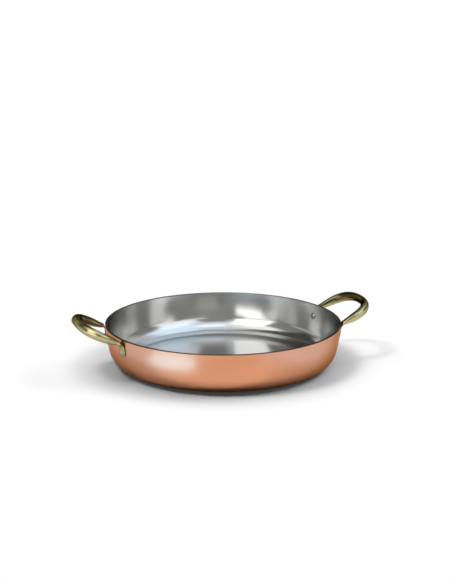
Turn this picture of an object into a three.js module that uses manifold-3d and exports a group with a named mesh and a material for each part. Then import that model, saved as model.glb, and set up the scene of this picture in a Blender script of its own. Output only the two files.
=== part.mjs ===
// A shallow round braising pan: a copper shell with a bonded steel lining, and two
// cast brass loop handles, each held by two rivets that pass through the wall.
// Millimetres, +Z up. The origin is the middle of the base, and the handles lie on X.
import * as THREE from "three";
import { mergeVertices } from "three/addons/utils/BufferGeometryUtils.js";
import Module from "manifold-3d";

// Pan body
const rimDiameter = 320;
const panHeight = 58;
const rimLeanDegrees = 3; // how far the wall leans outwards at the rim
const wallRadius = 200; // of the wall's slow curve, seen from the side
const cornerRadius = 28; // of the tighter curve between the base and the wall
const copperThickness = 2.5;
const liningThickness = 0.5;
const bondGap = 0.05;

// Rivets
const rivetDepth = 17; // centre of a rivet below the rim
const rivetSpacing = 91; // between the two rivets of a handle
const shankDiameter = 5;
const shankClearance = 0.3; // all round a shank in its holes
const headClearance = 0.2; // under each rivet head
const insideHeadDiameter = 9;
const insideHeadHeight = 2.2;
const outsideHeadDiameter = 7;
const outsideHeadHeight = 0.5;

// Handle feet: flat leaves that lie on the wall, round at the lower end
const footWidth = 13;
const footThickness = 1.3;
const footTipThickness = 0.8; // at the lower end
const footTipDrop = 6.5; // lower end of the foot below the rivet
const footTopRise = 6.5; // upper end of the flat foot above the rivet
const footClearance = 0.3; // between a foot and the wall
const footSquareness = 5; // power of the superellipse that is the foot's section

// Handle loop, measured on the middle of the bar
const legSpan = 89.6; // between the legs where they leave the feet
const legStandoff = 4.6; // outside the rim circle there
const legDrop = 3.8; // below the rim there
const legEndWidth = 7.4;
const legEndHeight = 6.4;
const legTurnDegrees = 14.5; // how far the legs lean towards each other
const legRiseDegrees = 18.5;
const legPull = 13; // how far a leg runs straight on before it curves
const legWidth = 10; // a third of the way to the middle of the grip
const legHeight = 11.8;
const gripReach = 41.2; // outside the rim, at the middle of the grip
const gripRise = 15; // above the rim, at the middle of the grip
const gripPull = 51.5; // how far the grip runs straight on before it curves
const gripWidth = 11.1;
const gripHeight = 11.4;
const shoulderWidth = 11.1; // where a leg turns into the grip
const shoulderHeight = 13.2;
const bendPullDown = 3.5; // roundness of the bend from a foot to its leg, on the foot's side
const bendPullOut = 1.5; // the same, on the leg's side
const bendThickening = 2.5; // power of the bar's growth along the bend, so that it thickens late

// Smoothness
const roundSteps = 96; // round the pan
const cornerSteps = 8;
const wallSteps = 5;
const barSides = 16; // round a handle's bar
const tipSteps = 5; // along the round end of a foot
const tipStartDegrees = 15; // of the quarter turn of a foot's end, so that it closes in a short edge
const flatSteps = 2; // along the flat of a foot
const bendSteps = 7;
const loopSteps = 15; // from a leg to the middle of the grip
const rivetSides = 16;
const domeSteps = 4;

const rimRadius = rimDiameter / 2;
const wallThickness = copperThickness + bondGap + liningThickness;
const facetDepth = rimRadius * (1 - Math.cos(Math.PI / roundSteps)); // a flat facet inside its round line
const wasm = await Module();
wasm.setup();

// The side of the pan is two arcs: the wall, which ends at the rim, and the corner, which touches the base.
// They meet where both lean by the same angle.
const rimLean = THREE.MathUtils.degToRad(rimLeanDegrees);
const wallCentre = new THREE.Vector2(
  rimRadius - wallRadius * Math.cos(rimLean),
  panHeight + wallRadius * Math.sin(rimLean),
);
const cornerLean = Math.asin((wallCentre.y - cornerRadius) / (wallRadius - cornerRadius));
const cornerCentre = new THREE.Vector2(
  wallCentre.x + (wallRadius - cornerRadius) * Math.cos(cornerLean),
  cornerRadius,
);

function arc(centre, radius, firstLean, lastLean, steps) {
  return new THREE.EllipseCurve(centre.x, centre.y, radius, radius, -firstLean, -lastLean).getPoints(steps);
}

// The pan's outer face, from the middle of the base to the rim, moved inwards by depth
function wallLine(depth) {
  const lastLean = Math.asin((wallCentre.y - panHeight) / (wallRadius - depth));
  const corner = arc(cornerCentre, cornerRadius - depth, Math.PI / 2, cornerLean, cornerSteps);
  const wall = arc(wallCentre, wallRadius - depth, cornerLean, lastLean, wallSteps);
  return [new THREE.Vector2(0, depth), ...corner, ...wall.slice(1)];
}

// Radius of the outer face and its lean at a height on the wall or on the corner
function wallAt(height) {
  const onWall = height > cornerRadius * (1 - Math.sin(cornerLean));
  const [centre, arcRadius] = onWall ? [wallCentre, wallRadius] : [cornerCentre, cornerRadius];
  const lean = Math.asin((centre.y - height) / arcRadius);
  return { radius: centre.x + arcRadius * Math.cos(lean), lean };
}

// A closed profile of radius and height, turned about Z
function turned(profile, sides) {
  return new THREE.LatheGeometry(profile, sides).rotateX(Math.PI / 2);
}

function toSolid(geometry) {
  const bare = geometry.clone();
  bare.deleteAttribute("normal");
  bare.deleteAttribute("uv");
  const merged = mergeVertices(bare, 1e-3);
  const vertProperties = new Float32Array(merged.attributes.position.array);
  const triVerts = new Uint32Array(merged.index.array);
  return new wasm.Manifold(new wasm.Mesh({ numProp: 3, vertProperties, triVerts }));
}

function toGeometry(solid) {
  const mesh = solid.getMesh();
  const geometry = new THREE.BufferGeometry();
  geometry.setAttribute("position", new THREE.BufferAttribute(mesh.vertProperties, 3));
  geometry.setIndex(new THREE.BufferAttribute(mesh.triVerts, 1));
  geometry.computeVertexNormals();
  return geometry;
}

function cutHoles(geometry, holes) {
  const solid = holes.reduce((rest, hole) => rest.subtract(toSolid(hole)), toSolid(geometry));
  return toGeometry(solid);
}

// Rivet places: on the wall's outer face, with the axis square to it and pointing out
const rivetHeight = panHeight - rivetDepth;
const rivetWall = wallAt(rivetHeight);
const rivetTurn = Math.asin(rivetSpacing / 2 / rivetWall.radius);

function wallFrame(turn, height) {
  const { radius, lean } = wallAt(height);
  const around = new THREE.Vector3(-Math.sin(turn), Math.cos(turn), 0);
  const outward = new THREE.Vector3(Math.cos(turn), Math.sin(turn), 0);
  const point = outward.clone().multiplyScalar(radius).setZ(height);
  const normal = outward.multiplyScalar(Math.cos(lean)).setZ(-Math.sin(lean));
  return { point, normal, around };
}

function placeOnWall(object, turn) {
  const { point, normal } = wallFrame(turn, rivetHeight);
  object.position.copy(point);
  object.quaternion.setFromUnitVectors(new THREE.Vector3(0, 1, 0), normal);
  return object;
}

// Rivet: a turned profile along its axis, from the inside head to the outside head
const insideSeat = -wallThickness - facetDepth - headClearance;
const outsideSeat = footClearance + footThickness + headClearance;

function dome(diameter, seat, height) {
  const points = [];
  for (let i = 0; i <= domeSteps; i += 1) {
    const angle = (i / domeSteps) * (Math.PI / 2);
    points.push(new THREE.Vector2((diameter / 2) * Math.sin(angle), seat + height * Math.cos(angle)));
  }
  points[0].x = 0;
  return points;
}

function rivetGeometry() {
  const profile = [
    ...dome(insideHeadDiameter, insideSeat, -insideHeadHeight),
    new THREE.Vector2(shankDiameter / 2, insideSeat),
    new THREE.Vector2(shankDiameter / 2, outsideSeat),
    ...dome(outsideHeadDiameter, outsideSeat, outsideHeadHeight).reverse(),
  ];
  return new THREE.LatheGeometry(profile, rivetSides);
}

// A hole for one shank, long enough to pass through the wall and a foot
function shankHole(turn) {
  const radius = shankDiameter / 2 + shankClearance;
  const length = 2 * (outsideSeat - insideSeat);
  const hole = placeOnWall(new THREE.Object3D(), turn);
  hole.updateMatrix();
  return new THREE.CylinderGeometry(radius, radius, length, rivetSides).applyMatrix4(hole.matrix);
}

// Handle: half of the bar, from the tip of one foot to the middle of the grip.
// Each station has a point on the bar's middle line, the direction across the bar,
// and the size of the section: half width, half height and squareness.
function footStations() {
  const stations = [];
  const along = [];
  const firstAngle = THREE.MathUtils.degToRad(tipStartDegrees);
  for (let i = 0; i <= tipSteps; i += 1) {
    const angle = firstAngle + (i / tipSteps) * (Math.PI / 2 - firstAngle);
    along.push({ distance: footTipDrop * (1 - Math.cos(angle)), share: Math.sin(angle) });
  }
  for (let i = 1; i <= flatSteps; i += 1) {
    along.push({ distance: footTipDrop + (i / flatSteps) * footTopRise, share: 1 });
  }
  for (const { distance, share } of along) {
    const { point, normal, around } = wallFrame(rivetTurn, rivetHeight - footTipDrop + distance);
    const halfHeight = THREE.MathUtils.lerp(footTipThickness, footThickness, share) / 2;
    stations.push({
      point: point.addScaledVector(normal, footClearance + halfHeight),
      across: around,
      halfWidth: (footWidth / 2) * share,
      halfHeight,
      squareness: footSquareness,
    });
  }
  return stations;
}

const legTurn = THREE.MathUtils.degToRad(legTurnDegrees);
const legRise = THREE.MathUtils.degToRad(legRiseDegrees);
const legDirection = new THREE.Vector3(
  Math.cos(legTurn) * Math.cos(legRise),
  -Math.sin(legTurn) * Math.cos(legRise),
  Math.sin(legRise),
);
const legStart = new THREE.Vector3(
  Math.sqrt((rimRadius + legStandoff) ** 2 - (legSpan / 2) ** 2),
  legSpan / 2,
  panHeight - legDrop,
);
const gripMiddle = new THREE.Vector3(rimRadius + gripReach, 0, panHeight + gripRise);
const loopUp = new THREE.Vector3(-Math.sin(legRise), 0, Math.cos(legRise));

function bendStations(foot) {
  const upWall = wallFrame(rivetTurn, rivetHeight + footTopRise);
  const upDirection = new THREE.Vector3().crossVectors(upWall.normal, upWall.around);
  const curve = new THREE.CubicBezierCurve3(
    foot.point,
    foot.point.clone().addScaledVector(upDirection, bendPullDown),
    legStart.clone().addScaledVector(legDirection, -bendPullOut),
    legStart,
  );
  const legAcross = new THREE.Vector3().crossVectors(loopUp, legDirection).normalize();
  const stations = [];
  for (let i = 1; i < bendSteps; i += 1) {
    const share = i / bendSteps;
    const eased = THREE.MathUtils.smoothstep(share, 0, 1);
    stations.push({
      point: curve.getPoint(share),
      across: foot.across.clone().lerp(legAcross, eased),
      halfWidth: THREE.MathUtils.lerp(foot.halfWidth, legEndWidth / 2, eased),
      halfHeight: THREE.MathUtils.lerp(foot.halfHeight, legEndHeight / 2, eased ** bendThickening),
      squareness: THREE.MathUtils.lerp(footSquareness, 2, eased),
    });
  }
  return stations;
}

function loopStations() {
  const curve = new THREE.CubicBezierCurve3(
    legStart,
    legStart.clone().addScaledVector(legDirection, legPull),
    gripMiddle.clone().setY(gripPull),
    gripMiddle,
  );
  const sizes = new THREE.SplineCurve([
    new THREE.Vector2(legEndWidth / 2, legEndHeight / 2),
    new THREE.Vector2(legWidth / 2, legHeight / 2),
    new THREE.Vector2(shoulderWidth / 2, shoulderHeight / 2),
    new THREE.Vector2(gripWidth / 2, gripHeight / 2),
  ]);
  const stations = [];
  for (let i = 0; i <= loopSteps; i += 1) {
    const share = i / loopSteps;
    const size = sizes.getPoint(share);
    stations.push({
      point: curve.getPoint(share),
      across: new THREE.Vector3().crossVectors(loopUp, curve.getTangent(share)),
      halfWidth: size.x,
      halfHeight: size.y,
      squareness: 2,
    });
  }
  return stations;
}

// The back of a foot and of its bend lies along the wall, moved out to its clearance
function clearOfWall(point) {
  if (point.z > panHeight) {
    return point;
  }
  const { radius, lean } = wallAt(point.z);
  const least = radius + footClearance / Math.cos(lean);
  const share = Math.max(least / Math.hypot(point.x, point.y), 1);
  return point.set(point.x * share, point.y * share, point.z);
}

// Points of one section, square to the bar
function sectionRing(stations, index) {
  const { point, across, halfWidth, halfHeight, squareness } = stations[index];
  const before = stations[Math.max(index - 1, 0)].point;
  const after = stations[index + 1]?.point ?? before.clone().setY(-before.y);
  const ahead = after.clone().sub(before).normalize();
  const side = across.clone().addScaledVector(ahead, -across.dot(ahead)).normalize();
  const up = new THREE.Vector3().crossVectors(ahead, side);
  const ring = [];
  for (let i = 0; i < barSides; i += 1) {
    const angle = (i / barSides) * 2 * Math.PI;
    const x = Math.sign(Math.cos(angle)) * Math.abs(Math.cos(angle)) ** (2 / squareness);
    const y = Math.sign(Math.sin(angle)) * Math.abs(Math.sin(angle)) ** (2 / squareness);
    const corner = point.clone().addScaledVector(side, x * halfWidth).addScaledVector(up, y * halfHeight);
    ring.push(clearOfWall(corner));
  }
  return ring;
}

// A closed skin over a row of rings, with a fan at each end
function skin(rings) {
  const sides = rings[0].length;
  const points = rings.flat();
  const triangles = [];
  for (let row = 0; row + 1 < rings.length; row += 1) {
    for (let i = 0; i < sides; i += 1) {
      const a = row * sides + i;
      const b = row * sides + ((i + 1) % sides);
      triangles.push(a, b, a + sides, b, b + sides, a + sides);
    }
  }
  const last = (rings.length - 1) * sides;
  for (let i = 1; i + 1 < sides; i += 1) {
    triangles.push(0, i + 1, i);
    triangles.push(last, last + i, last + i + 1);
  }
  const geometry = new THREE.BufferGeometry().setFromPoints(points);
  geometry.setIndex(triangles);
  return geometry;
}

function handleGeometry() {
  const foot = footStations();
  const half = [...foot, ...bendStations(foot.at(-1)), ...loopStations()];
  const rings = half.map((_, index) => sectionRing(half, index));
  const mirrored = rings.slice(0, -1).reverse();
  const otherHalf = mirrored.map((ring) => ring.map((point) => point.clone().setY(-point.y)));
  return cutHoles(skin([...rings, ...otherHalf]), [shankHole(rivetTurn), shankHole(-rivetTurn)]);
}

const copper = new THREE.MeshStandardMaterial({ color: 0xd29070, roughness: 0.28, metalness: 1 });
const steel = new THREE.MeshStandardMaterial({ color: 0xb9bab8, roughness: 0.15, metalness: 1 });
const brass = new THREE.MeshStandardMaterial({ color: 0xc9b573, roughness: 0.2, metalness: 1 });

const pan = new THREE.Group();

function addPiece(name, geometry, material) {
  const piece = new THREE.Mesh(geometry, material);
  piece.name = name;
  pan.add(piece);
  return piece;
}

const handles = [
  { name: "right", turn: 0, rivets: { front: -rivetTurn, back: rivetTurn } },
  { name: "left", turn: Math.PI, rivets: { front: Math.PI + rivetTurn, back: Math.PI - rivetTurn } },
];

function panLayer(outerDepth, innerDepth) {
  const profile = [...wallLine(outerDepth), ...wallLine(innerDepth).reverse()];
  const holes = handles.flatMap(({ rivets }) => Object.values(rivets).map(shankHole));
  return cutHoles(turned(profile, roundSteps), holes);
}

addPiece("copper_shell", panLayer(0, copperThickness), copper);
addPiece("steel_lining", panLayer(copperThickness + bondGap, wallThickness), steel);

for (const { name, turn, rivets } of handles) {
  addPiece(`${name}_handle`, handleGeometry(), brass).rotation.z = turn;
  for (const [place, rivetPlace] of Object.entries(rivets)) {
    placeOnWall(addPiece(`${name}_${place}_rivet`, rivetGeometry(), steel), rivetPlace);
  }
}

export default pan;
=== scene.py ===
"""Braising pan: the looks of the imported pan, its studio and its camera, laid out as an add-on.

The copper shell and the steel lining are turned from one rule, the four rivets are placed
by another, and the two brass handles are swept along the same line as the solids.
Everything is in metres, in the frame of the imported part: +Z up, handles on X.
"""

import math

import bpy
from bpy.props import FloatProperty, FloatVectorProperty, IntProperty, PointerProperty
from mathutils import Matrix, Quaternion, Vector


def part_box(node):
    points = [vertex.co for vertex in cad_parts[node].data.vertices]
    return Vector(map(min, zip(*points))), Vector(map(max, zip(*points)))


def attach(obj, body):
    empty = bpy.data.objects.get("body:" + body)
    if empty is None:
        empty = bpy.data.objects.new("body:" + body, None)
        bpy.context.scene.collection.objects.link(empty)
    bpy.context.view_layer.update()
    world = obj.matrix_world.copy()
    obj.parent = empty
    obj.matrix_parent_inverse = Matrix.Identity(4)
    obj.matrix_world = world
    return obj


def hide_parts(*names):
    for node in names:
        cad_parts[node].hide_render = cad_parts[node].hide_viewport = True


bl_info = {
    "name": "Braising pan",
    "version": (1, 0, 0),
    "blender": (4, 5, 0),
    "location": "3D view, sidebar, Pan",
    "description": "Copper braising pan with a steel lining and riveted brass handles",
    "category": "Object",
}

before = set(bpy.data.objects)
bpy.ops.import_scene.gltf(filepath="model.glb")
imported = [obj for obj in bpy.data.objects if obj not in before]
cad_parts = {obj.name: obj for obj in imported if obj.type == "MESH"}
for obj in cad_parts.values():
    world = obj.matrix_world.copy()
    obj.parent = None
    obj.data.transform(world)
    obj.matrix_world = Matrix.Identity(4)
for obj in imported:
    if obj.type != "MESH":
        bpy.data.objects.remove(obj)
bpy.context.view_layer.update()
_, shell_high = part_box("copper_shell")

BODY = "root"
PHOTO_HEIGHT = 584  # of the picture, in pixels
MILLIMETRE = 0.001
SHELL_PIECE = "satin_copper_shell"
RIVET_COUNT = 4
MERGE_DISTANCE = 0.000001
ELLIPSE = 2.0  # squareness of a round section


# Sizes and colours that a user would change


def length(name, description, millimetres):
    """A length property, with its default given in millimetres."""
    return FloatProperty(
        name=name,
        description=description,
        default=millimetres * MILLIMETRE,
        min=0.0,
        precision=5,
        unit="LENGTH",
    )


def angle(name, description, degrees):
    """An angle property, with its default given in degrees."""
    return FloatProperty(
        name=name,
        description=description,
        default=math.radians(degrees),
        subtype="ANGLE",
    )


def share(name, description, default):
    """A property from 0 to 1."""
    return FloatProperty(
        name=name, description=description, default=default, min=0.0, max=1.0, subtype="FACTOR"
    )


def colour(name, description, default):
    """A colour property, in linear values."""
    return FloatVectorProperty(
        name=name, description=description, default=default, size=3, min=0.0, max=1.0, subtype="COLOR"
    )


def number(name, description, default):
    """A plain number."""
    return FloatProperty(name=name, description=description, default=default)


def count(name, description, default):
    """A whole number of steps."""
    return IntProperty(name=name, description=description, default=default, min=1)


class PanBodySizes(bpy.types.PropertyGroup):
    """Sizes of the copper shell and of its lining."""

    rim_diameter: length("Rim diameter", "Across the outside of the rim", 2 * shell_high.x / MILLIMETRE)
    height: length("Height", "From the base to the rim", shell_high.z / MILLIMETRE)
    rim_lean: angle("Rim lean", "How far the wall leans outwards at the rim", 3)
    wall_radius: length("Wall radius", "Radius of the wall's slow curve, seen from the side", 200)
    corner_radius: length("Corner radius", "Radius of the tighter curve between base and wall", 28)
    copper_thickness: length("Copper thickness", "Thickness of the copper shell", 2.5)
    lining_thickness: length("Lining thickness", "Thickness of the steel lining", 0.5)
    bond_gap: length("Bond gap", "Between the copper and the lining", 0.05)
    copper_edge: length("Copper edge", "Roundness of the copper's edges at the rim", 0.5)
    lining_edge: length("Lining edge", "Roundness of the lining's edges at the rim", 0.2)
    round_steps: count("Round steps", "Faces round the pan", 288)
    corner_steps: count("Corner steps", "Faces along the corner", 28)
    wall_steps: count("Wall steps", "Faces from the corner to the rim", 24)
    edge_steps: count("Edge steps", "Faces along each rounded edge", 5)
    row_length: length("Row length", "Longest face along the base", 4.0)


class RivetSizes(bpy.types.PropertyGroup):
    """Sizes of the four rivets."""

    depth: length("Depth", "Centre of a rivet below the rim", 17)
    spacing: length("Spacing", "Between the two rivets of a handle", 91)
    shank_diameter: length("Shank diameter", "Across the shank", 5)
    seat_gap: length("Seat gap", "Under each head", 0.2)
    inside_diameter: length("Inside head diameter", "Across the head in the pan", 9)
    inside_height: length("Inside head height", "Height of the head in the pan", 2.2)
    outside_diameter: length("Outside head diameter", "Across the head on the foot", 7)
    outside_height: length("Outside head height", "Height of the head on the foot", 0.5)
    dome_steps: count("Dome steps", "Faces from the middle of a head to its edge", 12)
    round_steps: count("Round steps", "Faces round a rivet", 48)


class HandleSizes(bpy.types.PropertyGroup):
    """Sizes of the loop handles, measured on the middle of the bar."""

    foot_width: length("Foot width", "Across a foot", 13)
    foot_thickness: length("Foot thickness", "Thickness of a foot at the rivet", 1.3)
    tip_thickness: length("Tip thickness", "Thickness of a foot at its lower end", 0.8)
    tip_drop: length("Tip drop", "Lower end of a foot below its rivet", 6.5)
    top_rise: length("Top rise", "Upper end of the flat foot above its rivet", 6.5)
    wall_gap: length("Wall gap", "Between a foot and the wall", 0.3)
    foot_squareness: number("Foot squareness", "Power of the foot's section: 2 is an ellipse", 3.2)
    leg_span: length("Leg span", "Between the legs where they leave the feet", 89.6)
    leg_standoff: length("Leg standoff", "Start of a leg outside the rim circle", 4.6)
    leg_drop: length("Leg drop", "Start of a leg below the rim", 3.8)
    leg_end_width: length("Leg end width", "Width of the bar at the start of a leg", 7.4)
    leg_end_height: length("Leg end height", "Height of the bar at the start of a leg", 6.4)
    leg_turn: angle("Leg turn", "How far the legs lean towards each other", 14.5)
    leg_rise: angle("Leg rise", "How steeply the legs climb", 18.5)
    leg_pull: length("Leg pull", "How far a leg runs straight before it curves", 13)
    leg_width: length("Leg width", "Width of the bar a third of the way along", 10)
    leg_height: length("Leg height", "Height of the bar a third of the way along", 11.8)
    shoulder_width: length("Shoulder width", "Width of the bar where a leg turns into the grip", 11.1)
    shoulder_height: length("Shoulder height", "Height of the bar there", 13.2)
    grip_reach: length("Grip reach", "Middle of the grip outside the rim", 41.2)
    grip_rise: length("Grip rise", "Middle of the grip above the rim", 15)
    grip_pull: length("Grip pull", "How far the grip runs straight before it curves", 51.5)
    grip_width: length("Grip width", "Width of the bar at the middle of the grip", 11.1)
    grip_height: length("Grip height", "Height of the bar at the middle of the grip", 11.35)
    bend_pull_down: length("Bend pull, foot", "Roundness of the bend on the foot's side", 3.5)
    bend_pull_out: length("Bend pull, leg", "Roundness of the bend on the leg's side", 1.5)
    bend_thickening: number("Bend thickening", "Power of the bar's growth along the bend", 2.5)
    bar_sides: count("Bar sides", "Faces round the bar", 48)
    tip_steps: count("Tip steps", "Sections along the round end of a foot", 14)
    flat_steps: count("Flat steps", "Sections along the flat of a foot", 8)
    bend_steps: count("Bend steps", "Sections along the bend", 24)
    loop_steps: count("Loop steps", "Sections from a leg to the middle of the grip", 72)


class PanFinishes(bpy.types.PropertyGroup):
    """Colours and gloss of the metals."""

    copper: colour("Copper", "Colour of the satin copper", (0.66, 0.295, 0.16))
    steel: colour("Steel", "Colour of the polished lining", (0.65, 0.65, 0.64))
    brass: colour("Brass", "Colour of the cast brass", (0.48, 0.43, 0.23))
    # The patina colour also serves as painted shade on the top and inner sides of the handles.
    patina_and_shade: colour("Patina", "Colour of the brass where it has darkened", (0.06, 0.05, 0.022))
    rivet: colour("Rivet", "Colour of the rivets", (0.44, 0.44, 0.43))
    copper_edge_tint: colour("Copper edge tint", "Copper seen at a glancing angle", (0.55, 0.40, 0.32))
    brass_edge_tint: colour("Brass edge tint", "Brass seen at a glancing angle", (0.15, 0.12, 0.05))
    steel_edge_tint: colour("Steel edge tint", "Lining seen at a glancing angle", (0.75, 0.75, 0.75))
    # Colour, depth and roughness of a dark band along the top of the rim.
    dark_rim: colour("Cut edge", "Colour of the dull edge at the rim", (0.045, 0.04, 0.035))
    dark_rim_depth: length("Cut edge depth", "How far the dull edge reaches down from the rim", 1.0)
    copper_roughness: share("Copper roughness", "Satin of the copper", 0.34)
    steel_roughness: share("Steel roughness", "Polish of the lining", 0.15)
    brass_roughness: share("Brass roughness", "Polish of the handles", 0.19)
    rivet_roughness: share("Rivet roughness", "Polish of the rivets", 0.07)
    dark_rim_roughness: share("Cut edge roughness", "Dullness of the edge at the rim", 0.5)


class StudioSettings(bpy.types.PropertyGroup):
    """Floor, light and camera."""

    floor_colour: colour("Floor", "Colour of the floor", (0.96, 0.96, 0.96))
    floor_lift: share("Floor lift", "Light added to the floor where it is looked at", 0.045)
    key_radiance: number("Key light", "Brightness of the tall softbox", 1.8)
    camera_place: FloatVectorProperty(
        name="Camera place",
        description="Where the camera stands",
        default=(-0.5699, -1.7656, 0.5694),
        subtype="TRANSLATION",
        unit="LENGTH",
    )
    camera_aim: FloatVectorProperty(
        name="Camera aim",
        description="Direction in which the camera looks",
        default=(0.2997, 0.9218, -0.2458),
        subtype="DIRECTION",
    )
    focal_pixels: number("Focal length", "Focal length in pixels of the picture", 1416.0)


# Trees of nodes


class Field:
    """A value in a tree of nodes, which joins with others and with numbers by the usual signs."""

    def __init__(self, maker, socket):
        self.maker = maker
        self.socket = socket

    def __add__(self, other):
        return self.maker.math("ADD", self, other)

    __radd__ = __add__

    def __sub__(self, other):
        return self.maker.math("SUBTRACT", self, other)

    def __rsub__(self, other):
        return self.maker.math("SUBTRACT", other, self)

    def __mul__(self, other):
        return self.maker.math("MULTIPLY", self, other)

    def __truediv__(self, other):
        return self.maker.math("DIVIDE", self, other)

    def __neg__(self):
        return self * -1.0


class TreeMaker:
    """Adds nodes to one tree and links them, so that what they work out reads as a formula."""

    def __init__(self, tree):
        self.tree = tree

    def put(self, socket, value):
        """Links a field to a socket, or sets a plain value on it."""
        if isinstance(value, Field):
            self.tree.links.new(value.socket, socket)
        else:
            socket.default_value = value

    def node(self, kind, inputs=None, **settings):
        """A new node, with its settings and its inputs by name or number."""
        made = self.tree.nodes.new(kind)
        for key, value in settings.items():
            setattr(made, key, value)
        for key, value in (inputs or {}).items():
            self.put(made.inputs[key], value)
        return made

    def out(self, kind, inputs=None, output=0, **settings):
        """One output of a new node, by name or number."""
        return Field(self, self.node(kind, inputs, **settings).outputs[output])

    def math(self, operation, first, second=0.0):
        """What an operation makes of one value or two."""
        return self.out("ShaderNodeMath", {0: first, 1: second}, operation=operation)

    def vector_math(self, operation, *vectors, output="Vector"):
        """What an operation makes of one vector or two: a vector or a value."""
        return self.out("ShaderNodeVectorMath", dict(enumerate(vectors)), output, operation=operation)

    def vector(self, x, y, z):
        """A vector from its three parts."""
        return self.out("ShaderNodeCombineXYZ", {0: x, 1: y, 2: z})

    def parts(self, vector):
        """The three parts of a vector."""
        return [Field(self, part) for part in self.node("ShaderNodeSeparateXYZ", {0: vector}).outputs]

    def mapped(self, value, low, high):
        """A value from 0 to 1, spread from low to high."""
        return self.out("ShaderNodeMapRange", {"Value": value, "To Min": low, "To Max": high})

    def soft_step(self, value, start, end, top=1.0):
        """0 at the start and top at the end, with a smooth rise between them."""
        inputs = {"Value": value, "From Min": start, "From Max": end, "To Max": top}
        return self.out("ShaderNodeMapRange", inputs, interpolation_type="SMOOTHSTEP")

    def chosen(self, data_type, index, items):
        """One of several values, picked by a whole number."""
        switch = self.node("GeometryNodeIndexSwitch", data_type=data_type)
        while len(switch.index_switch_items) < len(items):
            switch.index_switch_items.new()
        for socket, value in zip(switch.inputs, (index, *items)):
            self.put(socket, value)
        return Field(self, switch.outputs[0])


def geometry_tree(name, sizes, counts):
    """A new tree of Geometry Nodes, its maker, and its inputs: sizes, counts and a material."""
    tree = bpy.data.node_groups.new(name, "GeometryNodeTree")
    tree.interface.new_socket("Geometry", in_out="OUTPUT", socket_type="NodeSocketGeometry")
    kinds = {
        **dict.fromkeys(sizes, "NodeSocketFloat"),
        **dict.fromkeys(counts, "NodeSocketInt"),
        "Material": "NodeSocketMaterial",
    }
    for input_name, kind in kinds.items():
        tree.interface.new_socket(input_name, in_out="INPUT", socket_type=kind)
    maker = TreeMaker(tree)
    sockets = tree.nodes.new("NodeGroupInput").outputs
    return tree, maker, {input_name: Field(maker, sockets[input_name]) for input_name in kinds}


def finish_tree(maker, geometry, material):
    """The end of a tree: real faces, smooth, in their material."""
    smooth = maker.out("GeometryNodeSetShadeSmooth", {"Geometry": geometry})
    real = maker.out("GeometryNodeRealizeInstances", {"Geometry": smooth})
    painted = maker.out("GeometryNodeSetMaterial", {"Geometry": real, "Material": material})
    maker.node("NodeGroupOutput", {0: painted})


def turned(maker, profile, path_radius, round_steps):
    """Turns a profile about Z. Its X runs outwards from the path's radius, and its Y downwards."""
    circle_inputs = {"Resolution": round_steps, "Radius": path_radius}
    circle = maker.out("GeometryNodeCurvePrimitiveCircle", circle_inputs)
    skin = maker.out("GeometryNodeCurveToMesh", {"Curve": circle, "Profile Curve": profile})
    return maker.out("GeometryNodeMergeByDistance", {"Geometry": skin, "Distance": MERGE_DISTANCE})


def polyline(maker, point_count, position):
    """A curve of straight lines, with its points placed by a field."""
    line = maker.out("GeometryNodeMeshLine", {"Count": point_count})
    placed = maker.out("GeometryNodeSetPosition", {"Geometry": line, "Position": position})
    return maker.out("GeometryNodeMeshToCurve", {"Mesh": placed})


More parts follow.
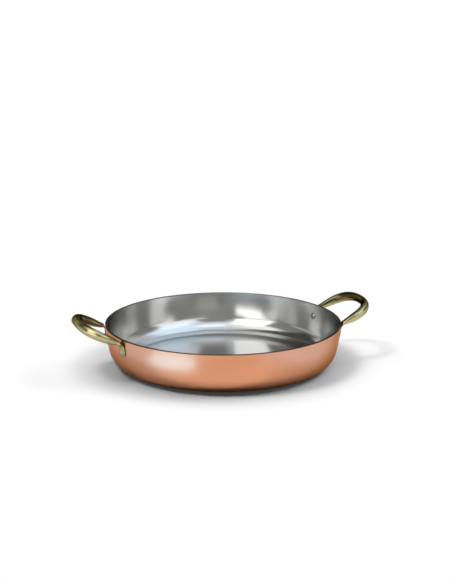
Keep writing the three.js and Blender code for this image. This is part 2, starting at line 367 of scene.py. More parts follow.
def turned_layer_tree():
    """One layer of the pan: a flat base, a round corner, a slowly curved wall and rounded rim edges.

    The profile runs along the inner face from the axis to the rim, and back along the outer face.
    """
    tree, maker, size = geometry_tree(
        "Turned Layer",
        sizes=(
            "Rim Radius",
            "Height",
            "Rim Lean",
            "Wall Radius",
            "Corner Radius",
            "Outer Depth",
            "Inner Depth",
            "Edge Radius",
            "Row Length",
        ),
        counts=("Round Steps", "Corner Steps", "Wall Steps", "Edge Steps"),
    )
    corner_steps, wall_steps = size["Corner Steps"], size["Wall Steps"]
    wall_radius, corner_radius = size["Wall Radius"], size["Corner Radius"]
    rim_rise = wall_radius * maker.math("SINE", size["Rim Lean"])
    rim_reach = wall_radius * maker.math("COSINE", size["Rim Lean"])
    wall_centre = (size["Rim Radius"] - rim_reach, size["Height"] + rim_rise)
    apart = wall_radius - corner_radius
    corner_lean = maker.math("ARCSINE", (wall_centre[1] - corner_radius) / apart)
    corner_centre = (wall_centre[0] + apart * maker.math("COSINE", corner_lean), corner_radius)

    index = maker.out("GeometryNodeInputIndex")
    rim_step = corner_steps + wall_steps + 1.0
    last = rim_step * 2.0 + 1.0
    step = maker.math("MINIMUM", index, last - index)
    on_outer_face = maker.math("GREATER_THAN", index, rim_step)
    depth = maker.mapped(on_outer_face, size["Inner Depth"], size["Outer Depth"])

    def point(radius, height):
        return maker.vector(radius - size["Rim Radius"], -height, 0.0)

    def arc_point(centre, arc_radius, first_lean, last_lean, amount):
        lean = maker.mapped(amount, first_lean, last_lean)
        layer_radius = arc_radius - depth
        reach = layer_radius * maker.math("COSINE", lean)
        drop = layer_radius * maker.math("SINE", lean)
        return point(centre[0] + reach, centre[1] - drop)

    corner_amount = (step - 1.0) / corner_steps
    wall_amount = (step - 1.0 - corner_steps) / wall_steps
    rim_lean = maker.math("ARCSINE", rim_rise / (wall_radius - depth))
    stretches = [
        point(0.0, depth),
        arc_point(corner_centre, corner_radius, math.pi / 2, corner_lean, corner_amount),
        arc_point(wall_centre, wall_radius, corner_lean, rim_lean, wall_amount),
    ]
    past_base = maker.math("GREATER_THAN", step, 0.5)
    past_corner = maker.math("GREATER_THAN", wall_amount, 0.0)
    position = maker.chosen("VECTOR", past_base + past_corner, stretches)
    line = polyline(maker, last + 1.0, position)
    at_rim = maker.math("COMPARE", step, rim_step)
    rounded = maker.out(
        "GeometryNodeFilletCurve",
        {
            "Curve": line,
            "Count": maker.mapped(at_rim, 1.0, size["Edge Steps"]),
            "Radius": at_rim * size["Edge Radius"],
            "Limit Radius": True,
        },
        mode="POLY",
    )

    place = maker.out("GeometryNodeInputPosition")
    ahead = maker.out(
        "GeometryNodeFieldAtIndex",
        {"Index": index + 1.0, "Value": place},
        data_type="FLOAT_VECTOR",
        domain="POINT",
    )
    gap = maker.vector_math("DISTANCE", place, ahead, output="Value")
    cuts = maker.math("FLOOR", gap / size["Row Length"])
    rows = maker.out("GeometryNodeSubdivideCurve", {"Curve": rounded, "Cuts": cuts})
    finish_tree(maker, turned(maker, rows, size["Rim Radius"], size["Round Steps"]), size["Material"])
    return tree


def rivet_tree():
    """Four rivets, two at each handle, with their axes square to the leaning wall."""
    tree, maker, size = geometry_tree(
        "Wall Rivets",
        sizes=(
            "Wall Radius",
            "Wall Lean",
            "Rivet Height",
            "Rivet Turn",
            "Shank Radius",
            "Inside Seat",
            "Inside Head Radius",
            "Inside Head Height",
            "Outside Seat",
            "Outside Head Radius",
            "Outside Head Height",
        ),
        counts=("Dome Steps", "Round Steps"),
    )
    steps, shank_radius = size["Dome Steps"], size["Shank Radius"]
    index = maker.out("GeometryNodeInputIndex")

    def point(radius, height):
        return maker.vector(radius - shank_radius, -height, 0.0)

    def dome_point(step, radius, seat, height):
        turn = step / steps * (math.pi / 2)
        return point(radius * maker.math("SINE", turn), seat + height * maker.math("COSINE", turn))

    last = steps * 2.0 + 3.0
    outside_seat, inside_seat = size["Outside Seat"], size["Inside Seat"]
    stretches = [
        dome_point(index, size["Outside Head Radius"], outside_seat, size["Outside Head Height"]),
        point(shank_radius, outside_seat),
        point(shank_radius, inside_seat),
        dome_point(last - index, size["Inside Head Radius"], inside_seat, -size["Inside Head Height"]),
    ]
    past_dome = {"Value": index - steps, "Min": 0.0, "Max": len(stretches) - 1.0}
    stretch = maker.out("ShaderNodeClamp", past_dome)
    profile = polyline(maker, last + 1.0, maker.chosen("VECTOR", stretch, stretches))
    rivet = turned(maker, profile, shank_radius, size["Round Steps"])

    side = maker.math("FLOOR", index / 2.0)
    sign = maker.math("MODULO", index, 2.0) * 2.0 - 1.0
    turn = side * math.pi + sign * size["Rivet Turn"]
    turn_cos, turn_sin = maker.math("COSINE", turn), maker.math("SINE", turn)
    lean_cos = maker.math("COSINE", size["Wall Lean"])
    lean_sin = maker.math("SINE", size["Wall Lean"])
    radius = size["Wall Radius"]
    place = maker.vector(turn_cos * radius, turn_sin * radius, size["Rivet Height"])
    outward = maker.vector(turn_cos * lean_cos, turn_sin * lean_cos, -lean_sin)
    points = maker.out("GeometryNodePoints", {"Count": RIVET_COUNT, "Position": place})
    aim = maker.out("FunctionNodeAlignRotationToVector", {"Vector": outward}, axis="Z")
    copies = {"Points": points, "Instance": rivet, "Rotation": aim}
    finish_tree(maker, maker.out("GeometryNodeInstanceOnPoints", copies), size["Material"])
    return tree


def mesh_from_tree(name, tree, values):
    """A plain mesh object from a tree, with its named inputs set before it is evaluated."""
    holder = bpy.data.objects.new(name, bpy.data.meshes.new(name))
    bpy.context.scene.collection.objects.link(holder)
    modifier = holder.modifiers.new(name, "NODES")
    modifier.node_group = tree
    for socket in tree.interface.items_tree:
        if socket.in_out == "INPUT":
            modifier[socket.identifier] = values[socket.name]
    depsgraph = bpy.context.evaluated_depsgraph_get()
    mesh = bpy.data.meshes.new_from_object(holder.evaluated_get(depsgraph), depsgraph=depsgraph)
    mesh.name = name
    holder.modifiers.remove(modifier)
    holder.data = mesh
    return holder


# Materials

# Sockets of a Mix node that mixes colours
MIX_FACTOR, MIX_FIRST, MIX_SECOND, MIX_RESULT = 0, 6, 7, 2
# Attribute of a handle: metres along its bar, and the cosine and sine of the side of the bar
BAR_PLACE = "bar_place"


def opaque(tint, factors=(1.0, 1.0, 1.0)):
    """A colour with its alpha, and with each of its parts multiplied by a factor."""
    return (*(part * factor for part, factor in zip(tint, factors)), 1.0)


def metal(name, base, roughness):
    """A new metal, the maker of its tree and its shader."""
    material = bpy.data.materials.new(name)
    material.use_nodes = True
    maker = TreeMaker(material.node_tree)
    shader = material.node_tree.nodes["Principled BSDF"]
    shader.inputs["Metallic"].default_value = 1.0
    shader.inputs["Base Color"].default_value = opaque(base)
    shader.inputs["Roughness"].default_value = roughness
    return material, maker, shader


def place_of_pattern(maker):
    """Place of a point on its piece, in metres."""
    return maker.out("ShaderNodeTexCoord", output="Object")


def noise(maker, place, scale, detail=2.0):
    """Soft spots from 0 to 1, about as many to a metre as the scale says."""
    inputs = {"Vector": place, "Scale": scale, "Detail": detail}
    return maker.out("ShaderNodeTexNoise", inputs, "Fac")


def turning_marks(maker, line_width, line_turn):
    """Noise drawn out into fine lines round the pan, as a lathe or a polishing wheel leaves."""
    x, y, z = maker.parts(place_of_pattern(maker))
    flat = maker.vector(x, y, 0.0)
    radius = maker.vector_math("LENGTH", flat, output="Value")
    around_x, around_y, _ = maker.parts(maker.vector_math("NORMALIZE", flat))
    place = maker.vector(around_x / line_turn, around_y / line_turn, (radius + z) / line_width)
    return noise(maker, place, scale=1.0, detail=3.0)


def varied(maker, pattern, middle, less, more):
    """A value that follows a pattern, from less below a middle one to more above it."""
    return maker.mapped(pattern, middle - less, middle + more)


def bumped(maker, shader, height, depth):
    """Sets the shader's bump from a height of 0 to 1, which is depth deep."""
    bump = maker.out("ShaderNodeBump", {"Height": height, "Distance": depth, "Strength": 1.0})
    maker.put(shader.inputs["Normal"], bump)


def mix_colours(maker, factor, first, second):
    """A colour between two."""
    inputs = {MIX_FACTOR: factor, MIX_FIRST: first, MIX_SECOND: second}
    return maker.out("ShaderNodeMix", inputs, MIX_RESULT, data_type="RGBA")


def dark_rim(maker, scene, shader, tint, roughness):
    """Sets a layer's colour and roughness, which turn dark and rougher along the top of the rim."""
    finishes, rim = scene.pan_finishes, scene.pan_body.height
    _, _, height = maker.parts(place_of_pattern(maker))
    edge = maker.soft_step(height, rim - finishes.dark_rim_depth, rim)
    maker.put(shader.inputs["Base Color"], mix_colours(maker, edge, tint, opaque(finishes.dark_rim)))
    maker.put(shader.inputs["Roughness"], maker.mapped(edge, roughness, finishes.dark_rim_roughness))


def copper_material(scene):
    """Satin copper with faint polishing lines and a slow drift of colour."""
    finishes = scene.pan_finishes
    material, maker, shader = metal("satin_copper", finishes.copper, finishes.copper_roughness)
    lines = turning_marks(maker, line_width=0.0007, line_turn=0.2)
    drift = noise(maker, place_of_pattern(maker), scale=14.0)
    warmer = opaque(finishes.copper, (0.97, 0.93, 0.90))
    tint = mix_colours(maker, drift, opaque(finishes.copper), warmer)
    satin = varied(maker, lines, finishes.copper_roughness, less=0.05, more=0.05)
    dark_rim(maker, scene, shader, tint, satin)
    bumped(maker, shader, lines, depth=0.000006)
    shader.inputs["Specular Tint"].default_value = opaque(finishes.copper_edge_tint)
    return material


def steel_material(scene):
    """Polished steel with the fine rings of a turned lining and faint smudges."""
    finishes = scene.pan_finishes
    material, maker, shader = metal("polished_steel", finishes.steel, finishes.steel_roughness)
    rings = turning_marks(maker, line_width=0.0005, line_turn=0.15)
    smudges = noise(maker, place_of_pattern(maker), scale=22.0)
    duller = opaque(finishes.steel, (0.95, 0.95, 0.96))
    tint = mix_colours(maker, smudges, opaque(finishes.steel), duller)
    mean = (rings + smudges) * 0.5
    polish = varied(maker, mean, finishes.steel_roughness, less=0.03, more=0.03)
    dark_rim(maker, scene, shader, tint, polish)
    bumped(maker, shader, rings, depth=0.000002)
    shader.inputs["Specular Tint"].default_value = opaque(finishes.steel_edge_tint)
    return material


def patina_and_shade_amount(maker):
    """Streaks of patina drawn out along a handle's bar, and painted shade that darkens its top and
    inner sides.
    """
    along_scale = 14.0  # to a metre of the bar, where its radius counts as 1
    top_shade_share = 0.16
    inner_shade_share = 0.09
    clear_below = 0.47
    dark_above = 0.68
    darkest = 0.9
    on_bar = maker.out("ShaderNodeAttribute", output="Vector", attribute_name=BAR_PLACE)
    along, outwards, upwards = maker.parts(on_bar)
    drawn_out = maker.vector(along * along_scale, outwards, upwards)
    streaks = noise(maker, drawn_out, scale=1.9, detail=4.0)
    # Painted shade: the top and the inner sides of the bar are made darker.
    amount = streaks + (upwards * top_shade_share - outwards * inner_shade_share)
    return maker.soft_step(amount, clear_below, dark_above, darkest)


def brass_material(finishes):
    """Cast brass, hand polished: slightly wavy, with small pits, dark streaks along the bar and painted
    shade on its top and inner sides.
    """
    material, maker, shader = metal("polished_brass", finishes.brass, finishes.brass_roughness)
    place = place_of_pattern(maker)
    waves = noise(maker, place, scale=90.0)
    pits = noise(maker, place, scale=900.0)
    pit_share = 0.03
    # Patina streaks and painted shade darken the brass towards this colour.
    tint = mix_colours(maker, patina_and_shade_amount(maker), opaque(finishes.brass), opaque(finishes.patina_and_shade))
    maker.put(shader.inputs["Base Color"], tint)
    polish = varied(maker, pits, finishes.brass_roughness, less=0.05, more=0.07)
    maker.put(shader.inputs["Roughness"], polish)
    bumped(maker, shader, waves + pits * pit_share, depth=0.00008)
    shader.inputs["Specular Tint"].default_value = opaque(finishes.brass_edge_tint)
    return material


def rivet_material(finishes):
    """Hammered steel of the rivet heads, softly polished."""
    material, maker, shader = metal("rivet_steel", finishes.rivet, finishes.rivet_roughness)
    place = place_of_pattern(maker)
    dents = noise(maker, place, scale=420.0)
    drift = noise(maker, place, scale=160.0)
    darker = opaque(finishes.rivet, (0.85, 0.85, 0.85))
    maker.put(shader.inputs["Base Color"], mix_colours(maker, drift, opaque(finishes.rivet), darker))
    polish = varied(maker, dents, finishes.rivet_roughness, less=0.04, more=0.06)
    maker.put(shader.inputs["Roughness"], polish)
    bumped(maker, shader, dents, depth=0.00003)
    return material


# The wall that carries the handles and rivets


def wall_at(body, height):
    """Radius of the outer face and its lean at a height on the wall or on the corner."""
    radius, corner = body.wall_radius, body.corner_radius
    centre_radius = body.rim_diameter / 2 - radius * math.cos(body.rim_lean)
    centre_height = body.height + radius * math.sin(body.rim_lean)
    corner_lean = math.asin((centre_height - corner) / (radius - corner))
    if height < corner * (1 - math.sin(corner_lean)):
        centre_radius += (radius - corner) * math.cos(corner_lean)
        radius = centre_height = corner
    lean = math.asin((centre_height - height) / radius)
    return centre_radius + radius * math.cos(lean), lean


def wall_frame(body, turn, height):
    """Point on the wall's outer face, the direction square to it, and the direction round the pan."""
    radius, lean = wall_at(body, height)
    around = Vector((-math.sin(turn), math.cos(turn), 0.0))
    point = Vector((radius * math.cos(turn), radius * math.sin(turn), height))
    normal = Vector(
        (math.cos(turn) * math.cos(lean), math.sin(turn) * math.cos(lean), -math.sin(lean))
    )
    return point, normal, around


def rivet_seat(scene):
    """Height of the rivets and how far each is turned from the middle of its handle."""
    body, rivet = scene.pan_body, scene.pan_rivets
    height = body.height - rivet.depth
    radius, _ = wall_at(body, height)
    return height, math.asin(rivet.spacing / 2 / radius)


# Handles


def mixed(first, second, amount):
    """A value between two."""
    return first + (second - first) * amount


def bezier(points, amount):
    """Point on a cubic curve, and its direction there."""
    rest = 1.0 - amount
    weights = (rest**3, 3 * rest**2 * amount, 3 * rest * amount**2, amount**3)
    place = sum((point * weight for point, weight in zip(points, weights)), Vector())
    steps = [after - before for before, after in zip(points, points[1:])]
    slopes = (rest**2, 2 * rest * amount, amount**2)
    direction = sum((step * slope for step, slope in zip(steps, slopes)), Vector())
    return place, direction.normalized()


def spline(values, amount):
    """Smooth curve through evenly spaced values, with its ends repeated."""
    place = amount * (len(values) - 1)
    start = min(int(place), len(values) - 2)
    share_past = place - start
    padded = [values[0], *values, values[-1]]
    before, first, second, after = padded[start : start + 4]
    first_slope = (second - before) / 2
    second_slope = (after - first) / 2
    cube = (2 * first - 2 * second + first_slope + second_slope) * share_past**3
    square = (-3 * first + 3 * second - 2 * first_slope - second_slope) * share_past**2
    return cube + square + first_slope * share_past + first


def foot_stations(scene):
    """Sections along a foot: centre, direction across, half width, half height and squareness."""
    body, handle = scene.pan_body, scene.pan_handles
    rivet_height, turn = rivet_seat(scene)
    first_angle = math.radians(2)
    along = []
    for step in range(handle.tip_steps + 1):
        tip_angle = mixed(first_angle, math.pi / 2, step / handle.tip_steps)
        along.append((handle.tip_drop * (1 - math.cos(tip_angle)), math.sin(tip_angle)))
    for step in range(1, handle.flat_steps + 1):
        along.append((handle.tip_drop + step / handle.flat_steps * handle.top_rise, 1.0))
    stations = []
    for distance, part in along:
        point, normal, around = wall_frame(body, turn, rivet_height - handle.tip_drop + distance)
        half_height = mixed(handle.tip_thickness, handle.foot_thickness, part) / 2
        centre = point + normal * (handle.wall_gap + half_height)
        half_width = handle.foot_width / 2 * part
        stations.append((centre, around, half_width, half_height, handle.foot_squareness))
    return stations


def leg_direction(handle):
    """Direction in which the leg on the +Y side leaves its foot."""
    flat = math.cos(handle.leg_rise)
    return Vector(
        (
            math.cos(handle.leg_turn) * flat,
            -math.sin(handle.leg_turn) * flat,
            math.sin(handle.leg_rise),
        )
    )


def leg_start(scene):
    """Where the leg on the +Y side leaves its foot."""
    body, handle = scene.pan_body, scene.pan_handles
    reach = body.rim_diameter / 2 + handle.leg_standoff
    half_span = handle.leg_span / 2
    return Vector((math.sqrt(reach**2 - half_span**2), half_span, body.height - handle.leg_drop))


def loop_up(handle):
    """Direction square to the slope of the loop."""
    return Vector((-math.sin(handle.leg_rise), 0.0, math.cos(handle.leg_rise)))


def bend_stations(scene, foot):
    """Sections along the bend from the top of a foot to the start of its leg."""
    body, handle = scene.pan_body, scene.pan_handles
    rivet_height, turn = rivet_seat(scene)
    foot_point, foot_across, foot_half_width, foot_half_height, _ = foot
    _, normal, around = wall_frame(body, turn, rivet_height + handle.top_rise)
    start, direction = leg_start(scene), leg_direction(handle)
    curve = (
        foot_point,
        foot_point + normal.cross(around) * handle.bend_pull_down,
        start - direction * handle.bend_pull_out,
        start,
    )
    leg_across = loop_up(handle).cross(direction).normalized()
    stations = []
    for step in range(1, handle.bend_steps):
        amount = step / handle.bend_steps
        eased = amount * amount * (3 - 2 * amount)
        place, _ = bezier(curve, amount)
        thick = mixed(foot_half_height, handle.leg_end_height / 2, eased**handle.bend_thickening)
        stations.append(
            (
                place,
                foot_across.lerp(leg_across, eased),
                mixed(foot_half_width, handle.leg_end_width / 2, eased),
                thick,
                mixed(handle.foot_squareness, ELLIPSE, eased),
            )
        )
    return stations


def loop_stations(scene):
    """Sections along the loop, from the start of a leg to the middle of the grip."""
    body, handle = scene.pan_body, scene.pan_handles
    start = leg_start(scene)
    middle = Vector((body.rim_diameter / 2 + handle.grip_reach, 0.0, body.height + handle.grip_rise))
    curve = (
        start,
        start + leg_direction(handle) * handle.leg_pull,
        middle + Vector((0.0, handle.grip_pull, 0.0)),
        middle,
    )
    widths = (handle.leg_end_width, handle.leg_width, handle.shoulder_width, handle.grip_width)
    heights = (handle.leg_end_height, handle.leg_height, handle.shoulder_height, handle.grip_height)
    up = loop_up(handle)
    stations = []
    for step in range(handle.loop_steps + 1):
        amount = step / handle.loop_steps
        place, direction = bezier(curve, amount)
        half_width = spline(widths, amount) / 2
        half_height = spline(heights, amount) / 2
        stations.append((place, up.cross(direction), half_width, half_height, ELLIPSE))
    return stations


def clear_of_wall(scene, point):
    """The back of a foot and of its bend lies along the wall, moved out to its clearance."""
    body, handle = scene.pan_body, scene.pan_handles
    if point.z > body.height:
        return point
    radius, lean = wall_at(body, point.z)
    least = radius + handle.wall_gap / math.cos(lean)
    stretch = max(least / math.hypot(point.x, point.y), 1.0)
    return Vector((point.x * stretch, point.y * stretch, point.z))


def signed_power(value, power):
    """A power of a value, with the value's own sign."""
    return math.copysign(abs(value) ** power, value)


def section_ring(scene, stations, index):
    """Points of one section, square to the bar."""
    centre, across, half_width, half_height, squareness = stations[index]
    before = stations[max(index - 1, 0)][0]
    mirror = Vector((before.x, -before.y, before.z))
    after = stations[index + 1][0] if index + 1 < len(stations) else mirror
    ahead = (after - before).normalized()
    side = (across - ahead * across.dot(ahead)).normalized()
    up = ahead.cross(side)
    sides = scene.pan_handles.bar_sides
    ring = []
    for step in range(sides):
        turn = 2 * math.pi * step / sides
        x = signed_power(math.cos(turn), ELLIPSE / squareness) * half_width
        y = signed_power(math.sin(turn), ELLIPSE / squareness) * half_height
        ring.append(clear_of_wall(scene, centre + side * x + up * y))
    return ring


def mark_bar(mesh, rings):
    """Keeps each point's place on the bar: how far along it, and which side it is on."""
    sides = len(rings[0])
    centres = [sum(ring, Vector()) / sides for ring in rings]
    along = 0.0
    places = []
    for row in range(len(rings)):
        along += (centres[row] - centres[max(row - 1, 0)]).length
        for step in range(sides):
            turn = 2 * math.pi * step / sides
            places += (along, math.cos(turn), math.sin(turn))
    marks = mesh.attributes.new(BAR_PLACE, "FLOAT_VECTOR", "POINT")
    marks.data.foreach_set("vector", places)


def handle_mesh(scene, name, turned_round):
    """Closed skin of a handle: the right one, or the same turned half way round the pan."""
    foot = foot_stations(scene)
    half = [*foot, *bend_stations(scene, foot[-1]), *loop_stations(scene)]
    rings = [section_ring(scene, half, index) for index in range(len(half))]
    for ring in reversed(rings[:-1]):
        rings.append([Vector((point.x, -point.y, point.z)) for point in ring])
    sign = -1.0 if turned_round else 1.0
    points = [(sign * point.x, sign * point.y, point.z) for ring in rings for point in ring]
    sides = scene.pan_handles.bar_sides
    faces = []
    for row in range(len(rings) - 1):
        for step in range(sides):
            first = row * sides + step
            second = row * sides + (step + 1) % sides
            faces.append((first, second, second + sides, first + sides))
    faces.append(tuple(reversed(range(sides))))
    last = (len(rings) - 1) * sides
    faces.append(tuple(range(last, last + sides)))
    mesh = bpy.data.meshes.new(name)
    mesh.from_pydata(points, [], faces)
    mesh.validate()
    mesh.shade_smooth()
    mark_bar(mesh, rings)
    return mesh


# Operators: one for each piece or group of like pieces, and one for the stage


def settle(piece, slot, *nodes):
    """Puts a piece on its body and hides the parts of the model that it stands for; the slot is not
    used.
    """
    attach(piece, BODY)
    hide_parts(*nodes)


def layer_values(body, outer_depth, inner_depth, edge, material):
    """Inputs of the turned layer's tree."""
    return {
        "Rim Radius": body.rim_diameter / 2,
        "Height": body.height,
        "Rim Lean": body.rim_lean,
        "Wall Radius": body.wall_radius,
        "Corner Radius": body.corner_radius,
        "Outer Depth": outer_depth,
        "Inner Depth": inner_depth,
        "Edge Radius": edge,
        "Row Length": body.row_length,
        "Round Steps": body.round_steps,
        "Corner Steps": body.corner_steps,
        "Wall Steps": body.wall_steps,
        "Edge Steps": body.edge_steps,
        "Material": material,
    }


def layer_tree():
    """The turned layer's tree, made once and shared by both layers."""
    return bpy.data.node_groups.get("Turned Layer") or turned_layer_tree()


class PAN_OT_copper_shell(bpy.types.Operator):
    """Turns the copper shell"""

    bl_idname = "pan.copper_shell"
    bl_label = "Copper shell"

    def execute(self, context):
        body = context.scene.pan_body
        material = copper_material(context.scene)
        values = layer_values(body, 0.0, body.copper_thickness, body.copper_edge, material)
        piece = mesh_from_tree(SHELL_PIECE, layer_tree(), values)
        settle(piece, "copper", "copper_shell")
        return {"FINISHED"}


class PAN_OT_steel_lining(bpy.types.Operator):
    """Turns the steel lining, bonded to the inside of the copper"""

    bl_idname = "pan.steel_lining"
    bl_label = "Steel lining"

    def execute(self, context):
        body = context.scene.pan_body
        material = steel_material(context.scene)
        outer = body.copper_thickness + body.bond_gap
        values = layer_values(body, outer, outer + body.lining_thickness, body.lining_edge, material)
        piece = mesh_from_tree("turned_steel_lining", layer_tree(), values)
        settle(piece, "polished_steel", "steel_lining")
        return {"FINISHED"}


class PAN_OT_handles(bpy.types.Operator):
    """Sweeps the two brass loop handles with their flat feet"""

    bl_idname = "pan.handles"
    bl_label = "Handles"

    def execute(self, context):
        material = brass_material(context.scene.pan_finishes)
        for side, turned_round in (("right", False), ("left", True)):
            name = f"{side}_loop_handle"
            mesh = handle_mesh(context.scene, name, turned_round)
            mesh.materials.append(material)
            piece = bpy.data.objects.new(name, mesh)
            context.scene.collection.objects.link(piece)
            settle(piece, "cast_brass", f"{side}_handle")
        return {"FINISHED"}


class PAN_OT_rivets(bpy.types.Operator):
    """Sets the four rivets through the feet and the wall"""

    bl_idname = "pan.rivets"
    bl_label = "Rivets"

    def execute(self, context):
        scene = context.scene
        body, rivet, handle = scene.pan_body, scene.pan_rivets, scene.pan_handles
        height, turn = rivet_seat(scene)
        radius, lean = wall_at(body, height)
        wall_thickness = body.copper_thickness + body.bond_gap + body.lining_thickness
        values = {
            "Wall Radius": radius,
            "Wall Lean": lean,
            "Rivet Height": height,
            "Rivet Turn": turn,
            "Shank Radius": rivet.shank_diameter / 2,
            "Inside Seat": -wall_thickness - rivet.seat_gap / 2,
            "Inside Head Radius": rivet.inside_diameter / 2,
            "Inside Head Height": rivet.inside_height,
            "Outside Seat": handle.wall_gap + handle.foot_thickness + rivet.seat_gap / 2,
            "Outside Head Radius": rivet.outside_diameter / 2,
            "Outside Head Height": rivet.outside_height,
            "Dome Steps": rivet.dome_steps,
            "Round Steps": rivet.round_steps,
            "Material": rivet_material(scene.pan_finishes),
        }
        piece = mesh_from_tree("wall_rivets", rivet_tree(), values)
        nodes = [f"{side}_{place}_rivet" for side in ("left", "right") for place in ("front", "back")]
        settle(piece, "rivet_steel", *nodes)
        return {"FINISHED"}


# Stage: floor, lamps, world and camera

WHITE = (1.0, 1.0, 1.0, 1.0)
BLACK = (0.0, 0.0, 0.0, 1.0)
FLOOR_HALF_WIDTH = 15.0
CAMERA_REACH = 100.0
# Upright softboxes: azimuth in degrees, distance, foot, width and height in metres,
# and share of the key light
SOFTBOXES = (
    ("low_softbox", -125, 1.5, 0.0, 1.27, 0.32, 1.2),
    ("tall_softbox", -126, 1.5, 0.62, 1.2, 1.95, 1.0),
)
# Low lamps before the pan, which give the copper alone its pale sheen: azimuth in degrees,
# distance, width and depth in metres, radiance and tint
SHEENS = (
    ("end_sheen", -88, 0.25, 0.17, 0.1, 0.4, (0.1, 1.0, 2.3)),
    ("left_sheen", -128, 0.245, 0.13, 0.09, 2.15, (0.2, 1.0, 2.1)),
    ("front_sheen", -157, 0.173, 0.24, 0.042, 0.26, (1.0, 1.0, 1.0)),
    ("right_sheen", 131, 0.245, 0.4, 0.1, 0.44, (0.1, 1.0, 2.5)),
)
SHEEN_HEIGHT = 0.002
# Soft-edged areas of the studio as the metals show it, each laid over those before it: azimuth
# and elevation of the middle, half of the width and of the height, softness, all in degrees, and colour
STUDIO_AREAS = (
    ("front_roof", -170, 72, 85, 20, 16, (1.40, 1.52, 1.70)),
    ("front_high", 170, 44, 42, 12, 12, (0.92, 0.96, 1.00)),
    ("left_roof", -112, 66, 46, 15, 12, (1.15, 1.12, 1.05)),
    ("right_roof", 100, 62, 48, 22, 16, (1.00, 1.22, 1.45)),
    ("zenith", 0, 86, 180, 9, 12, (0.80, 0.88, 0.94)),
    ("right_back", 50, 34, 30, 18, 16, (0.58, 0.60, 0.62)),
    ("dark_back", -36, 46, 24, 22, 12, (0.06, 0.055, 0.04)),
    ("left_back", -15, 17, 22, 11, 10, (0.68, 0.68, 0.65)),
    ("left_low", -64, 16, 20, 2, 4, (0.70, 0.70, 0.68)),
    ("right_window", 144, 28, 24, 11, 10, (1.35, 1.38, 1.44)),
    ("blue_window", 134, 43, 22, 9, 10, (1.30, 1.52, 1.80)),
    ("right_panel", 130, 9, 14, 7, 8, (1.25, 1.25, 1.25)),
    ("camera_side", -172, 22, 16, 20, 10, (0.33, 0.33, 0.31)),
    ("camera_low", 166, 16, 13, 3, 4, (1.00, 1.00, 0.96)),
    ("key_gap", -122, 15, 18, 5, 4, (1.20, 1.20, 1.17)),
    ("horizon", 0, -45, 180, 49, 5, (1.0, 1.0, 1.0)),
)
STUDIO_GREY = (0.26, 0.26, 0.25)
# What lights the floor: a wide roof and a lamp on each side, in the same measures, and strength
FLOOR_LIGHTS = (
    ("roof", 20, 70, 125, 28, 12, 1.64),
    ("left_lamp", -94, 61, 13, 8, 6, 13.8),
    ("right_lamp", 96, 48, 25, 8, 6, 4.2),
)


def direction_of(azimuth, elevation):
    """Direction by degrees: azimuth from +Y towards +X, elevation above the floor."""
    turn, rise = math.radians(azimuth), math.radians(elevation)
    return Vector((math.sin(turn) * math.cos(rise), math.cos(turn) * math.cos(rise), math.sin(rise)))


def ray_fact(maker, fact):
    """One of the things that are known of a ray's path."""
    return maker.out("ShaderNodeLightPath", output=fact)


def before_floor(maker):
    """1 for a ray that has not been scattered by the floor, else 0."""
    return maker.math("LESS_THAN", ray_fact(maker, "Diffuse Depth"), 0.5)


def seen_rays(maker):
    """1 for rays from the camera and for those off or through shiny things that it sees, else 0."""
    glossy, through = ray_fact(maker, "Is Glossy Ray"), ray_fact(maker, "Is Transmission Ray")
    shiny = maker.math("MAXIMUM", glossy, through)
    return maker.math("MAXIMUM", ray_fact(maker, "Is Camera Ray"), shiny) * before_floor(maker)


def floor_material(studio):
    """Pale paper that keeps the shadow, takes no colour from the pan and is lifted where it is seen."""
    material = bpy.data.materials.new("floor_paper")
    material.use_nodes = True
    maker = TreeMaker(material.node_tree)
    shader = material.node_tree.nodes["Principled BSDF"]
    shader.inputs["Roughness"].default_value = 1.0
    shader.inputs["Specular IOR Level"].default_value = 0.0
    shader.inputs["Emission Color"].default_value = WHITE
    fibres = noise(maker, place_of_pattern(maker), scale=300.0)
    shade = opaque(studio.floor_colour, (0.99, 0.99, 0.99))
    paper = mix_colours(maker, fibres, opaque(studio.floor_colour), shade)
    maker.put(shader.inputs["Base Color"], mix_colours(maker, before_floor(maker), BLACK, paper))
    maker.put(shader.inputs["Emission Strength"], seen_rays(maker) * studio.floor_lift)
    return material


def add_floor(scene):
    """A wide square of paper under the pan."""
    half = FLOOR_HALF_WIDTH
    corners = [(-half, -half, 0.0), (half, -half, 0.0), (half, half, 0.0), (-half, half, 0.0)]
    mesh = bpy.data.meshes.new("floor")
    mesh.from_pydata(corners, [], [(0, 1, 2, 3)])
    mesh.materials.append(floor_material(scene.pan_studio))
    floor = bpy.data.objects.new("floor", mesh)
    scene.collection.objects.link(floor)


def add_lamp(scene, name, width, height, radiance):
    """A flat lamp of an even brightness, which shows in the metals and leaves the floor alone."""
    light = bpy.data.lights.new(name, "AREA")
    light.shape = "RECTANGLE"
    light.size, light.size_y = width, height
    light.energy = radiance * math.pi * width * height
    light.use_nodes = True
    maker = TreeMaker(light.node_tree)
    maker.put(light.node_tree.nodes["Emission"].inputs["Strength"], before_floor(maker))
    lamp = bpy.data.objects.new(name, light)
    lamp.visible_camera = False
    lamp.visible_diffuse = False
    lamp.rotation_mode = "QUATERNION"
    scene.collection.objects.link(lamp)
    return lamp


def add_softbox(scene, name, azimuth, distance, foot, width, height, key_share):
    """A lamp that stands upright and faces the middle of the pan."""
    softbox = add_lamp(scene, name, width, height, key_share * scene.pan_studio.key_radiance)
    place = direction_of(azimuth, 0)
    softbox.location = place * distance + Vector((0.0, 0.0, foot + height / 2))
    softbox.rotation_quaternion = (-place).to_track_quat("-Z", "Y")


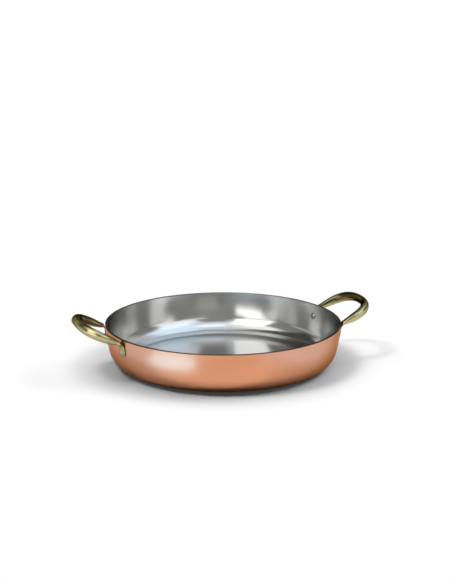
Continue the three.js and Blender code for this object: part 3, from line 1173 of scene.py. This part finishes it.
def add_sheen(scene, name, azimuth, distance, width, depth, radiance, tint):
    """A lamp that lies close to the floor, faces up and lights the copper alone."""
    sheen = add_lamp(scene, name, width, depth, radiance)
    sheen.data.color = tint
    sheen.location = direction_of(azimuth, 0) * distance + Vector((0.0, 0.0, SHEEN_HEIGHT))
    facing_up = Quaternion((1.0, 0.0, 0.0), math.pi)
    sheen.rotation_quaternion = Quaternion((0.0, 0.0, 1.0), -math.radians(azimuth)) @ facing_up
    lit = bpy.data.collections.new(name)
    lit.objects.link(bpy.data.objects[SHELL_PIECE])
    sheen.light_linking.receiver_collection = lit


def ray_place(maker):
    """Elevation of a ray in radians, and its direction made level."""
    direction = maker.out("ShaderNodeTexCoord", output="Generated")
    _, _, upwards = maker.parts(direction)
    level = maker.vector_math("MULTIPLY", direction, (1.0, 1.0, 0.0))
    return maker.math("ARCSINE", upwards), maker.vector_math("NORMALIZE", level)


def within(maker, distance, edge, softness):
    """1 within an edge and 0 beyond it, with the edge and its softness in degrees."""
    half = softness / 2
    return maker.soft_step(distance, math.radians(edge + half), math.radians(edge - half))


def area_amount(maker, rise, bearing, azimuth, elevation, half_width, half_height, softness):
    """1 in an area of the studio and 0 outside it."""
    middle = tuple(direction_of(azimuth, 0))
    cosine = maker.vector_math("DOT_PRODUCT", bearing, middle, output="Value")
    across = maker.math("ARCCOSINE", cosine)
    above = maker.math("ABSOLUTE", rise - math.radians(elevation))
    return within(maker, across, half_width, softness) * within(maker, above, half_height, softness)


def add_world(scene):
    """What the metals and the camera see, and the lights that only the floor gets."""
    world = bpy.data.worlds.new("studio")
    world.use_nodes = True
    maker = TreeMaker(world.node_tree)
    background = world.node_tree.nodes["Background"]
    ray = ray_place(maker)
    studio = opaque(STUDIO_GREY)
    for _, *measures, tint in STUDIO_AREAS:
        studio = mix_colours(maker, area_amount(maker, *ray, *measures), studio, opaque(tint))
    light = 0.0
    for _, *measures, strength in FLOOR_LIGHTS:
        light += area_amount(maker, *ray, *measures) * strength
    on_floor = maker.math("MAXIMUM", before_floor(maker), ray_fact(maker, "Is Diffuse Ray"))
    seen = seen_rays(maker)
    maker.put(background.inputs["Color"], mix_colours(maker, seen, WHITE, studio))
    maker.put(background.inputs["Strength"], maker.mapped(seen, light * on_floor, 1.0))
    scene.world = world


def add_camera(scene):
    """The camera of the photograph, which was solved from the rim, the base and the handles."""
    studio = scene.pan_studio
    lens = bpy.data.cameras.new("photo_camera")
    lens.lens = studio.focal_pixels * lens.sensor_width / PHOTO_HEIGHT
    lens.clip_end = CAMERA_REACH
    camera = bpy.data.objects.new("photo_camera", lens)
    camera.location = studio.camera_place
    camera.rotation_mode = "QUATERNION"
    camera.rotation_quaternion = Vector(studio.camera_aim).to_track_quat("-Z", "Y")
    scene.collection.objects.link(camera)
    scene.camera = camera


class PAN_OT_stage(bpy.types.Operator):
    """Sets up the floor, the lamps, the world and the camera"""

    bl_idname = "pan.stage"
    bl_label = "Stage"

    def execute(self, context):
        scene = context.scene
        add_floor(scene)
        for softbox in SOFTBOXES:
            add_softbox(scene, *softbox)
        for sheen in SHEENS:
            add_sheen(scene, *sheen)
        add_world(scene)
        add_camera(scene)
        scene.view_settings.view_transform = "Standard"
        return {"FINISHED"}


# Panel and registration

OPERATORS = (
    PAN_OT_copper_shell,
    PAN_OT_steel_lining,
    PAN_OT_handles,
    PAN_OT_rivets,
    PAN_OT_stage,
)
SETTINGS = {
    "pan_body": PanBodySizes,
    "pan_rivets": RivetSizes,
    "pan_handles": HandleSizes,
    "pan_finishes": PanFinishes,
    "pan_studio": StudioSettings,
}


class PAN_PT_sidebar(bpy.types.Panel):
    """Lists the pieces of the pan and their sizes"""

    bl_idname = "PAN_PT_sidebar"
    bl_label = "Braising pan"
    bl_space_type = "VIEW_3D"
    bl_region_type = "UI"
    bl_category = "Pan"

    def draw(self, context):
        for operator in OPERATORS:
            self.layout.operator(operator.bl_idname)
        for settings_name, group in SETTINGS.items():
            box = self.layout.box()
            for property_name in group.__annotations__:
                box.prop(getattr(context.scene, settings_name), property_name)


def register():
    for cls in (*SETTINGS.values(), *OPERATORS, PAN_PT_sidebar):
        bpy.utils.register_class(cls)
    for settings_name, group in SETTINGS.items():
        setattr(bpy.types.Scene, settings_name, PointerProperty(type=group))


def unregister():
    for settings_name in SETTINGS:
        delattr(bpy.types.Scene, settings_name)
    for cls in (PAN_PT_sidebar, *reversed(OPERATORS), *SETTINGS.values()):
        bpy.utils.unregister_class(cls)


def main():
    register()
    bpy.ops.pan.copper_shell()
    bpy.ops.pan.steel_lining()
    bpy.ops.pan.handles()
    bpy.ops.pan.rivets()
    bpy.ops.pan.stage()


if __name__ == "__main__":
    main()
